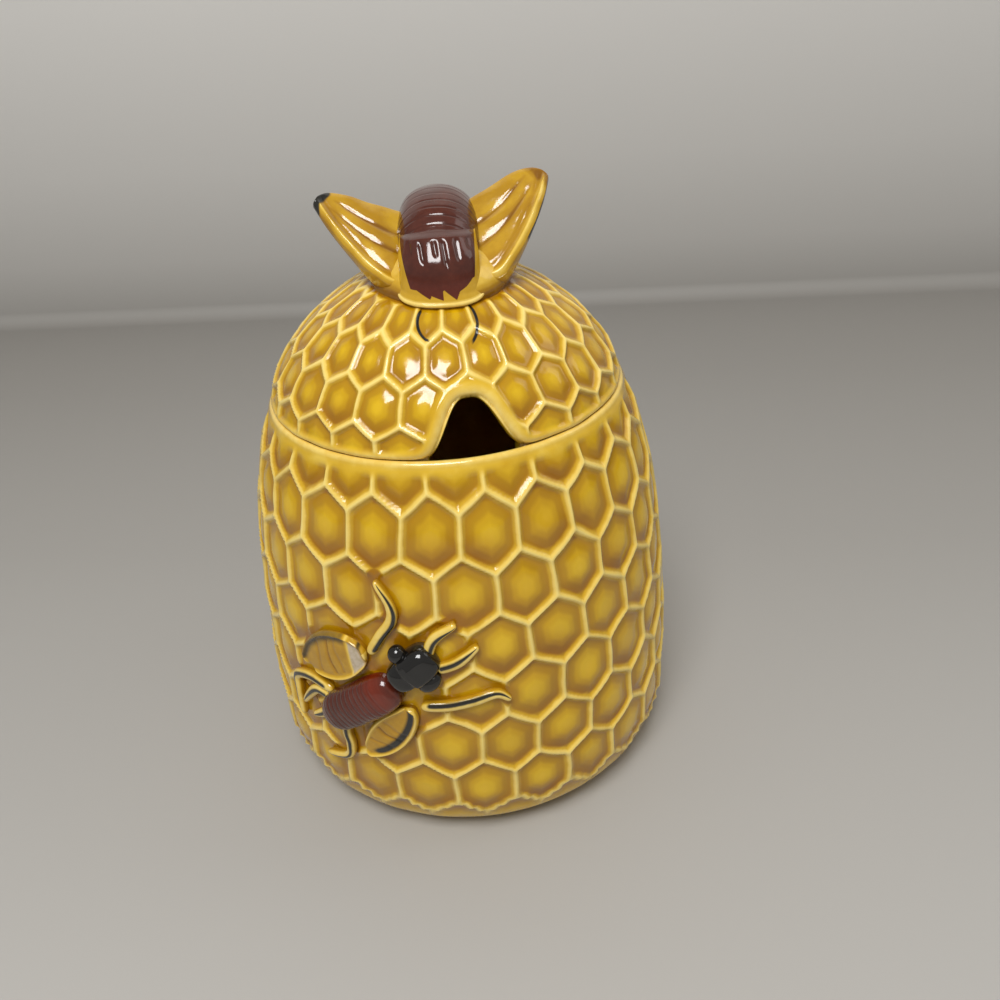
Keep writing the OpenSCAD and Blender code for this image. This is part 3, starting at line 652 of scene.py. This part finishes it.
def bend(points, t):
    """A smooth curve drawn towards four points, as a sum of the points weighted with the
    cubes and products of t and 1 - t."""
    t = t[:, None]
    return ((1 - t) ** 3 * points[0] + 3 * t * (1 - t) ** 2 * points[1]
            + 3 * t ** 2 * (1 - t) * points[2] + t ** 3 * points[3])


s = np.linspace(0, 1, 150)
path_y, path_z = bend(HEAD_PATH, s).T[:, :, None]
s = s[:, None]
around = np.radians(np.concatenate([np.arange(-100, 100, 1.2), np.arange(100, 260, 4)]))[None, :]
half = (HEAD_W + (HEAD_LIP_W - HEAD_W) * smooth(s, 0.1, 0.9)) * np.minimum(1, s * 20)
half = half + 0.20 * smooth(s, 0.86, 1.0)
depth = (6.0 - 1.7 * s) * np.minimum(1, s * 20)
x = half * np.sign(np.sin(around)) * np.abs(np.sin(around)) ** 0.92
y = path_y + depth * (1 - np.cos(around)) - 0.20 * smooth(s, 0.86, 1.0)
fall = (HEAD_PATH[0, 1] - path_z) / (HEAD_PATH[0, 1] - HEAD_PATH[3, 1])
lip_z = dome_z(*np.moveaxis(on_dome(x[-1:], y[-1:], 0.0)[..., :2], -1, 0)) - POT_H - DOME_H + 0.75
z = HEAD_PATH[0, 1] + (lip_z - HEAD_PATH[0, 1]) * fall
lock = sum(cut * np.exp(-((x - at - 1.6 * (s - 0.2)) / 0.36) ** 2)
           * smooth(s, 0.15, 0.24) * (1 - smooth(s, end - 0.12, end))
           for at, end, cut in LOCKS)
crown = smooth(s, 0.06, 0.17) * (1 - smooth(s, 0.45, 0.75)) * 0.5
push = (crown - 0.34 * lock) * (np.cos(around) > -0.2)
x, y = x + push * 0.6 * np.sin(around), y - push * np.cos(around)
z = z + 0.5 * push + 1.1 * (1 - (x / HEAD_W) ** 2) * (1 - smooth(s, 0.0, 0.4)) * (np.cos(around) > 0)
tuck = np.radians(np.linspace(0, 180, 8))[1:, None]
lip_x, lip_y = x[-1:], y[-1:]
x = np.concatenate([x, lip_x * (1 + 0.04 * np.sin(tuck)), lip_x * 0.85, lip_x * 0])
y = np.concatenate([y, lip_y - 0.32 * np.sin(tuck) * np.cos(around),
                    lip_y + 1.0 * np.cos(around), lip_y * 0 + lip_y.mean()])
z = np.concatenate([z, z[-1:] - 0.36 * (1 - np.cos(tuck)), z[-1:] - 2, z[-1:] * 0 + SUNK])
points = on_dome(x, y, z)
s = np.concatenate([s, np.full((len(x) - len(s), 1), 1.0)])
tips = np.interp(x, BRUSH_X, BRUSH_S)
left, right = -6.6 + 2.2 * s ** 2, -6.4 + 1.2 * s ** 3     # where the paint ends at the sides
sides = smooth(x, left, left + 0.3) * smooth(-x, right, right + 0.3)
painted = sides * (1 - smooth(s, tips - 0.006, tips + 0.006)) * (np.cos(around) > -0.1)
lock = np.concatenate([lock, np.zeros((len(x) - len(lock), x.shape[1]))])
deep = 0.45 + 0.25 * lock
deep = np.where(painted > 0.5, deep, 0.45 - 0.35 * smooth(s, 0.95, 1.0))
clay("bee_head", points, brown_glaze, "lid", "lid_bee_head", "brown_glaze",
     deep=deep, painted=painted, rust=0.25 * smooth(s, 0.5, 0.9))


# The wings of the bee on the lid
# Two leaves of clay, luted to the body and the mound. Each has a rolled front edge and two
# veins drawn with a tool. The tips are touched with black, and on the right wing a black
# line runs along the underside of the roll.

WING_FRONT, WING_ROOT = 9.2, -0.36     # reach in front of the middle line, and where it starts


def blade(k, front, behind, crown, belly):
    """Rings of a leaf: round each ring the distance across follows a cosine, and the height
    a sine, drawn out towards a box. k is 0 at the root and 1 at the tip, and both ends close
    with the root of 1 minus a ninth power. Gives the distance across, the height, and how
    far the place is from the front edge, all in millimetres."""
    close = np.sqrt(np.clip(1 - np.abs(2 * k - 1) ** np.where(k > 0.5, 6, 9), 0, 1))
    front, behind = front * close, behind * close
    c, s = np.cos(around), np.sin(around)
    across = (front - behind) / 2 + (front + behind) / 2 * np.sign(c) * np.abs(c) ** 0.75
    height = np.where(s > 0, crown * np.abs(s) ** 0.55, -belly * np.abs(s) ** 1.1)
    return across, height * np.minimum(close * 3, 1), front - across


around = np.radians(np.arange(0, 360, 2.5))[None, :]
k = (1 - np.cos(np.linspace(0, np.pi, 130)))[:, None] / 2
t = WING_ROOT + (1 - WING_ROOT) * k
for side, name, tip, broad in ((-1, "left", (-21.0, -1.0, 10.1), 4.0),
                               (1, "right", (20.1, 3.1, 10.9), 5.2)):
    root, tip, up_back = np.array([(side * 7.2, -3.6, 3.0), tip, (side * 0.6, 13.0, 10.4)])
    along = tip - root
    facing = np.cross(along, up_back) * side
    facing *= np.sign(facing[2]) / np.linalg.norm(facing)
    ahead = np.cross(along, facing) / np.linalg.norm(along)
    ahead *= -np.sign(ahead[1])
    front = 1.0 + (WING_FRONT - 1.0) * (1 - np.clip((t + 0.15) / 1.15, 0, 1) ** 1.4)
    behind = broad + 2.8 * (1 - t) ** 1.5
    across, height, inset = blade(k, front, behind, 0.9, 1.4 + 6.5 * np.clip(1 - t, 0, 2) ** 1.6)
    part = (across + behind) / (front + behind + 0.001)
    face = (np.sin(around) > 0.02) * smooth(k, 0.03, 0.14) * (1 - smooth(k, 0.93, 0.99))
    roll = np.exp(-((inset - 0.8) / 0.5) ** 2) * face
    moat = np.exp(-((inset - 2.3) / 0.6) ** 2) * face * smooth(front + behind, 3, 7)
    vein = sum(np.exp(-((part - place - 0.03 * np.sin(5 * t)) / 0.034) ** 2)
               for place in (0.36, 0.60)) * face * (1 - smooth(t, 0.62, 0.86))
    uneven = drift(across, 12 * t, 0 * across, 5, 30 + side)
    height = height + 0.50 * roll - 0.22 * moat - 0.24 * vein + 0.16 * uneven * face
    place = (root + t[..., None] * along + across[..., None] * ahead
             + height[..., None] * facing)
    points = on_dome(*np.moveaxis(place, -1, 0))
    low = 1 - smooth(above_dome(points), 0.2, 2.2)
    deep = 0.60 + 0.35 * vein + 0.16 * moat - 0.42 * roll + 0.35 * low - 0.1 * (1 - face) + 0.1 * uneven
    under = (np.sin(around) < 0.1) & (np.sin(around) > -0.75)
    rim = under * (np.cos(around) > 0) * smooth(t, 0.25, 0.4)
    wash = (smooth(t + 0.02 * np.cos(3 * around), 0.86, 0.93) if side < 0
            else np.maximum(rim, smooth(t, 0.985, 1.0)) * 1.0)
    if side > 0:
        deep = deep + 0.35 * smooth(t, 0.84, 0.92)
    clay("bee_wing_" + name, points, relief_glaze, "lid", f"lid_bee_{name}_wing", "wing_glaze",
         deep=deep, wash=wash + 0 * deep, milk=0)


# The bee on the wall: its body
# This bee was modelled in relief on the master, so it was cast with the wall. The body is a
# low roll, scored across, and painted brown with a touch of red behind the head.

BODY_AT, BODY_LEN, BODY_HALF_W, BODY_H = (-0.4, 0.7), 21.0, 4.15, 3.6


def on_crawl(place, turn, x, y, out):
    """Points that are given along and across a line on the wall, which starts at a place
    near the bee and is turned from the line of its body, as points of the object."""
    return on_wall(place[0] + x * math.cos(turn) - y * math.sin(turn),
                   place[1] + x * math.sin(turn) + y * math.cos(turn), out)


k = np.linspace(0, 1, 180)[:, None]
u = (k - 0.5) * BODY_LEN
close = (1 - np.abs(2 * k - 1) ** 10) ** 0.5
half = BODY_HALF_W * (1 - 0.30 * smooth(-u, 4.5, 9.7) ** 1.2 - 0.10 * smooth(u, 4, 9.7)) * close
ring = (u / 1.2 + 0.06 * np.sin(3 * around)) % 1
groove = np.exp(-((ring - 0.5) / 0.16) ** 2) * (1 - smooth(u, 7.0, 7.6)) * (np.sin(around) > 0)
c, s = np.cos(around), np.sin(around)
v = half * np.sign(c) * np.abs(c) ** 0.9
out = np.where(s > 0, BODY_H * half / BODY_HALF_W * np.abs(s) ** 0.85, -1.2 * close * np.abs(s))
out = out - 0.11 * groove + 0.12 * drift(u + 0 * v, v, out, 6, 41) * close
points = on_crawl(BODY_AT, 0, u + 0 * v, v, out)
rust = 0.60 * np.exp(-((u - 7.6) / 1.8) ** 2) + 0.20 * np.exp(-((u - 3.5) / 3.0) ** 2)
clay("wall_bee_body_clay", points, brown_glaze, "pot", "wall_bee_body", "brown_glaze",
     deep=0.48 + 0.25 * groove - 0.16 * np.exp(-((ring - 0.25) / 0.12) ** 2) * (s > 0.3),
     painted=1.0, rust=rust)


# The bee on the wall: its head and eyes
# A blunt wedge behind a round neck lobe, with a ball of clay on either side for the eyes,
# all painted black. The clear glaze gives them small sharp lights.

HEAD_AT, HEAD_LEN, HEAD_W = (15.3, 2.0), 10.0, 6.8


def black_paint(coat):
    """Black underglaze under the clear glaze, a little brown where it is thin."""
    fine, blot = coat.noise(0.0009, 3.0, 0.6), coat.noise(0.003, 2.0, 0.5)
    colour = (attribute(coat, "deep") + (blot - 0.5) * 0.4).ramp([
        (0.0, srgb(74, 62, 40)), (0.35, srgb(36, 34, 29)), (1.0, srgb(20, 19, 18))])
    return colour, 0.05 + fine * 0.05, blot * 0.00012 + fine * 0.00002


black_glaze = glazed("black_glaze_painted", black_paint)

bearing = np.radians(np.arange(0, 360, 3.0))[None, :]
span = np.concatenate([np.linspace(0, 0.9, 40), np.linspace(0.9, 1, 14)[1:]])[:, None]
shape = (np.abs(np.cos(bearing)) ** 3.4 + np.abs(np.sin(bearing)) ** 3.4) ** (-1 / 3.4)
u = HEAD_LEN / 2 * shape * np.cos(bearing) * span
v = HEAD_W / 2 * shape * np.sin(bearing) * span * (1 - 0.10 * smooth(-u, 0, 3))
lobe = 3.3 * np.sqrt(np.clip(1 - ((u + 2.6) / 3.4) ** 2 - (v / 4.2) ** 2, 0, 1))
wedge = np.clip(3.5 - 0.16 * np.abs(v - 1.2) - 0.22 * (u - 0.6) * (u > 0.6), 0, 9)
wedge = wedge * smooth(u, -2.0, -0.4)
out = np.log(np.exp(3 * lobe) + np.exp(3 * wedge)) / 3
out = out * np.sqrt(np.clip(1 - span ** 9, 0, 1)) + 0.08 * drift(u, v, 0 * u, 4, 42) * (span < 1)
under = on_crawl(HEAD_AT, 0, u[::6], v[::6], -1.2)
points = np.concatenate([on_crawl(HEAD_AT, 0, u, v, out), under[::-1]])
clay("wall_bee_head_clay", points, black_glaze, "pot", "wall_bee_head", "black_glaze",
     deep=1 - 0.9 * (1 - smooth(np.concatenate([out, 0 * u[::6]]), 0.2, 0.9)))

tilt = np.radians(np.linspace(-90, 90, 30))[:, None]
balls = []
for place, size, long, height in (((15.3, 6.1), 1.6, 1.0, 1.1), ((15.9, -2.0), 1.7, 1.45, 0.4)):
    balls.append(on_crawl(place, 0, long * size * np.cos(tilt) * np.cos(bearing),
                          size * np.cos(tilt) * np.sin(bearing), height + size * np.sin(tilt)))
clay("wall_bee_eye_balls", balls, black_glaze, "pot", "wall_bee_eyes", "black_glaze", deep=0.9)


# The bee on the wall: its wings
# Two low leaves in relief. Each has a raised cream rim and three veins, and was brushed with
# a grey-black shade along its outer edge and, on the upper one, with milky white at its root.

WINGS = [("upper", (9.2, 9.0), math.radians(167), 10.4, -1),
         ("lower", (8.9, -5.3), math.radians(-165), 7.4, 1)]
WALL_WING_LEN = 17.0

around = np.radians(np.arange(0, 360, 2.5))[None, :]
k = (1 - np.cos(np.linspace(0, np.pi, 120)))[:, None] / 2
for name, root, heading, broad, outer_side in WINGS:
    half = broad / 2 * np.sin(np.pi * (0.10 + 0.82 * k)) ** 0.8
    across, height, inset = blade(k, half, half, 0.9, 1.6)
    near_edge = np.minimum(inset, 2 * half - inset)
    near_end = np.minimum(k, 1 - k) * WALL_WING_LEN
    top = np.sin(around) > 0.02
    rim = np.exp(-((np.minimum(near_edge, near_end + 0.2) - 0.5) / 0.42) ** 2) * top
    part = across / (half + 0.001)
    drawn = k + 0.05 * part + 0.02 * np.sin(4 * part + 9 * k)
    vein = sum(cut * np.exp(-((drawn - at) / 0.018) ** 2) * (np.abs(part) < 0.7)
               for at, cut in ((0.40, 0.5), (0.52, 1.0), (0.70, 0.6))) * top
    height = height + (0.35 * rim - 0.25 * (1 - rim) - 0.30 * vein) * top * smooth(near_end, 0, 0.8)
    points = on_crawl(root, heading, k * WALL_WING_LEN + 0 * across, outer_side * across, height)
    shade = np.exp(-((inset - 1.6) / 0.95) ** 2) * top * (1 - smooth(k, 0.80, 0.95))
    if outer_side < 0:
        seam = k - 0.22 + 0.07 * part
        milk = (1 - smooth(seam, -0.02, 0.0)) * smooth(near_edge, 0.6, 1.0) * smooth(k, 0.05, 0.09) * top
        shade = 0.72 * np.exp(-((inset - 0.9) / 1.5) ** 2) * top * smooth(seam, 0.0, 0.06)
        rim = rim * (1 - 0.8 * (part > 0))
        shade = np.maximum(shade, 0.8 * np.exp(-((k - 0.035) / 0.02) ** 2) * top)
        rim = np.maximum(rim, np.exp(-(seam / 0.022) ** 2) * top)
    else:
        milk = 0 * part
    low = 1 - smooth(height, 0.0, 0.5)
    deep = 0.60 + 0.30 * vein - 0.48 * rim + 0.3 * low * (1 - top)
    clay(f"wall_bee_{name}_wing_leaf", points, relief_glaze, "pot", f"wall_bee_{name}_wing",
         "wing_glaze", deep=deep, wash=shade * (1 - 0.9 * rim), milk=milk * 0.75)


# The bee on the wall: its legs and feelers
# Thin rolls of clay in relief, left pale, each with one black brush line along its side.

LEG_W, LIMB_H = 2.2, 0.85


def rope(line, width, stripe):
    """Rings of a low roll of clay along a smooth line through places on the wall, thinner
    towards its end, with how deep the glaze lies on it and where its brush line runs. The
    line follows a cubic through each pair of places, whose slopes there are half the step
    from the place before to the place after."""
    line = np.array(line)
    slope = np.gradient(line, axis=0)
    k = np.linspace(0, len(line) - 1, 26 * (len(line) - 1) + 1)
    i = np.minimum(k.astype(int), len(line) - 2)
    f = (k - i)[:, None]
    path = ((1 + 2 * f) * (1 - f) ** 2 * line[i] + f * (1 - f) ** 2 * slope[i]
            + f * f * (3 - 2 * f) * line[i + 1] - f * f * (1 - f) * slope[i + 1])
    aside = np.gradient(path, axis=0)[:, ::-1] * (-1, 1)
    aside /= np.linalg.norm(aside, axis=1)[:, None]
    k = (k / k[-1])[:, None]
    close = np.sqrt(np.clip(1 - np.abs(2 * k - 1) ** 14, 0, 1))
    across = width / 2 * (1 - 0.35 * smooth(k, 0.5, 1)) * close * np.cos(around)
    out = np.where(np.sin(around) > 0, LIMB_H, 1.2) * np.sin(around) * close
    place = path[:, None, :] + across[..., None] * aside[:, None, :]
    brush = np.exp(-((np.cos(around) - 0.5 * stripe) / (0.40 * (1.1 - k ** 4))) ** 2)
    brush = brush * (np.sin(around) > 0) * smooth(k, 0.04, 0.10) * (1 - smooth(k, 0.94, 1))
    deep = 0.10 + 0.55 * (1 - smooth(out, 0.1, 0.6))
    return on_wall(place[..., 0], place[..., 1], out), deep, brush


around = np.radians(np.arange(0, 360, 12.0))[None, :]
for name, lines, stripes in (("front_legs", FRONT_LEGS, (-1, 1)),
                             ("hind_legs", HIND_LEGS, (-0.4, 0, 0.4, 0)),
                             ("feelers", FEELERS, (-0.6, 0.6))):
    rings, deep, brush = zip(*(rope(line, LEG_W, stripe) for line, stripe in zip(lines, stripes)))
    clay(f"wall_bee_{name}_rolls", list(rings), relief_glaze, "pot", f"wall_bee_{name}",
         "black_glaze", deep=list(deep), wash=list(brush), milk=0)


# The table, the light and the camera
# A pale smooth table in front of a grey wall; the two meet in a soft curve behind the pot. A
# wide lamp overhead and a weak one on the right light it, with soft light from all round. The
# grey of table and wall also has light and shade painted into it: painted shade on the table
# behind the pot and deepest in the curve where the two meet, and painted light towards the
# front of the table and up the wall.

def sheet_paint(colours):
    """A plain dull paint, whose colour follows a value given for each point of the backdrop.
    That value paints light and shade onto the backdrop: low for painted shade, high for
    painted light.
    """
    material = bpy.data.materials.new("backdrop_paint_with_painted_light")
    material.use_nodes = True
    tree = material.node_tree
    shader = tree.nodes["Principled BSDF"]
    # The value read here is painted light and shade along the backdrop.
    tone = Coat(tree).node("ShaderNodeAttribute", {"attribute_name": "tone"}, out=2)
    tree.links.new(tone.ramp(colours, "LINEAR").socket, shader.inputs["Base Color"])
    shader.inputs["Roughness"].default_value = 0.7
    return material


WALL_AWAY, WALL_BEARING, CURVE_R = 266.0, math.radians(-15.5), 7.0
curve = np.linspace(0, np.pi / 2, 10)
away = np.concatenate([[-1500.0, -120.0, 60.0, 180.0],
                       WALL_AWAY - CURVE_R + CURVE_R * np.sin(curve), np.full(4, WALL_AWAY)])
high = np.concatenate([np.zeros(4), CURVE_R * (1 - np.cos(curve)), [30.0, 70.0, 140.0, 1500.0]])
# Painted light and shade along the backdrop: darker on the table behind the pot and darkest in the curve
# where table and wall meet (painted shade), paler towards the front of the table and up the wall
# (painted light).
tone = np.concatenate([[0.60, 0.58, 0.28, 0.18], 0.14 + 0.22 * smooth(curve, 0.0, 1.5) ** 2,
                       [0.60, 0.80, 1.0, 1.0]])
aside = np.array([-2000.0, 2000.0])[:, None]
sheet = np.stack([aside * math.cos(WALL_BEARING) - away * math.sin(WALL_BEARING),
                  aside * math.sin(WALL_BEARING) + away * math.cos(WALL_BEARING),
                  high + 0 * aside], -1)
mesh = bpy.data.meshes.new("table_and_wall")
mesh.from_pydata(sheet.reshape(-1, 3) * 0.001, [],
                 woven(2, len(away), round_columns=False))
mesh.polygons.foreach_set("use_smooth", np.ones(len(mesh.polygons), bool))
mesh.attributes.new("tone", "FLOAT", "POINT").data.foreach_set("value", np.tile(tone, 2))
# The ramp runs from a darker grey, for painted shade, to a paler grey, for painted light.
mesh.materials.append(sheet_paint([(0.0, srgb(124, 120, 114)), (1.0, srgb(212, 210, 206))]))
backdrop = bpy.data.objects.new("table_and_wall", mesh)
bpy.context.scene.collection.objects.link(backdrop)


def lamp(name, place, aim, size, power):
    """A square lamp that faces a place, both in metres."""
    data = bpy.data.lights.new(name, "AREA")
    data.size, data.energy = size, power
    made = bpy.data.objects.new(name, data)
    bpy.context.scene.collection.objects.link(made)
    made.location = place
    made.rotation_mode = "QUATERNION"
    made.rotation_quaternion = (Vector(aim) - Vector(place)).to_track_quat("-Z", "Y")


lamp("lamp_overhead", (-0.16, -0.36, 0.78), (0, 0, 0.05), 0.36, 5.6)
lamp("lamp_right", (0.70, 0.05, 0.60), (0, 0, 0.05), 0.5, 0.9)

room = bpy.context.scene.world or bpy.data.worlds.new("room")
bpy.context.scene.world = room
room.use_nodes = True
room.node_tree.nodes["Background"].inputs["Color"].default_value = (*srgb(188, 186, 182), 1)
room.node_tree.nodes["Background"].inputs["Strength"].default_value = 0.7

lens = bpy.data.cameras.new("camera")
lens.sensor_width, lens.lens = 36, 31.92
camera = bpy.data.objects.new("camera", lens)
bpy.context.scene.collection.objects.link(camera)
right = Vector((0.97329, -0.22131, -0.06102))
upward = Vector((0.16809, 0.50597, 0.84601))
forward = Vector((0.15636, 0.83367, -0.52966))
camera.matrix_world = Matrix.Translation((-0.020812, -0.158085, 0.151867)) @ Matrix(
    (right, upward, -forward)).transposed().to_4x4()
bpy.context.scene.camera = camera
bpy.context.scene.view_settings.view_transform = "Standard"
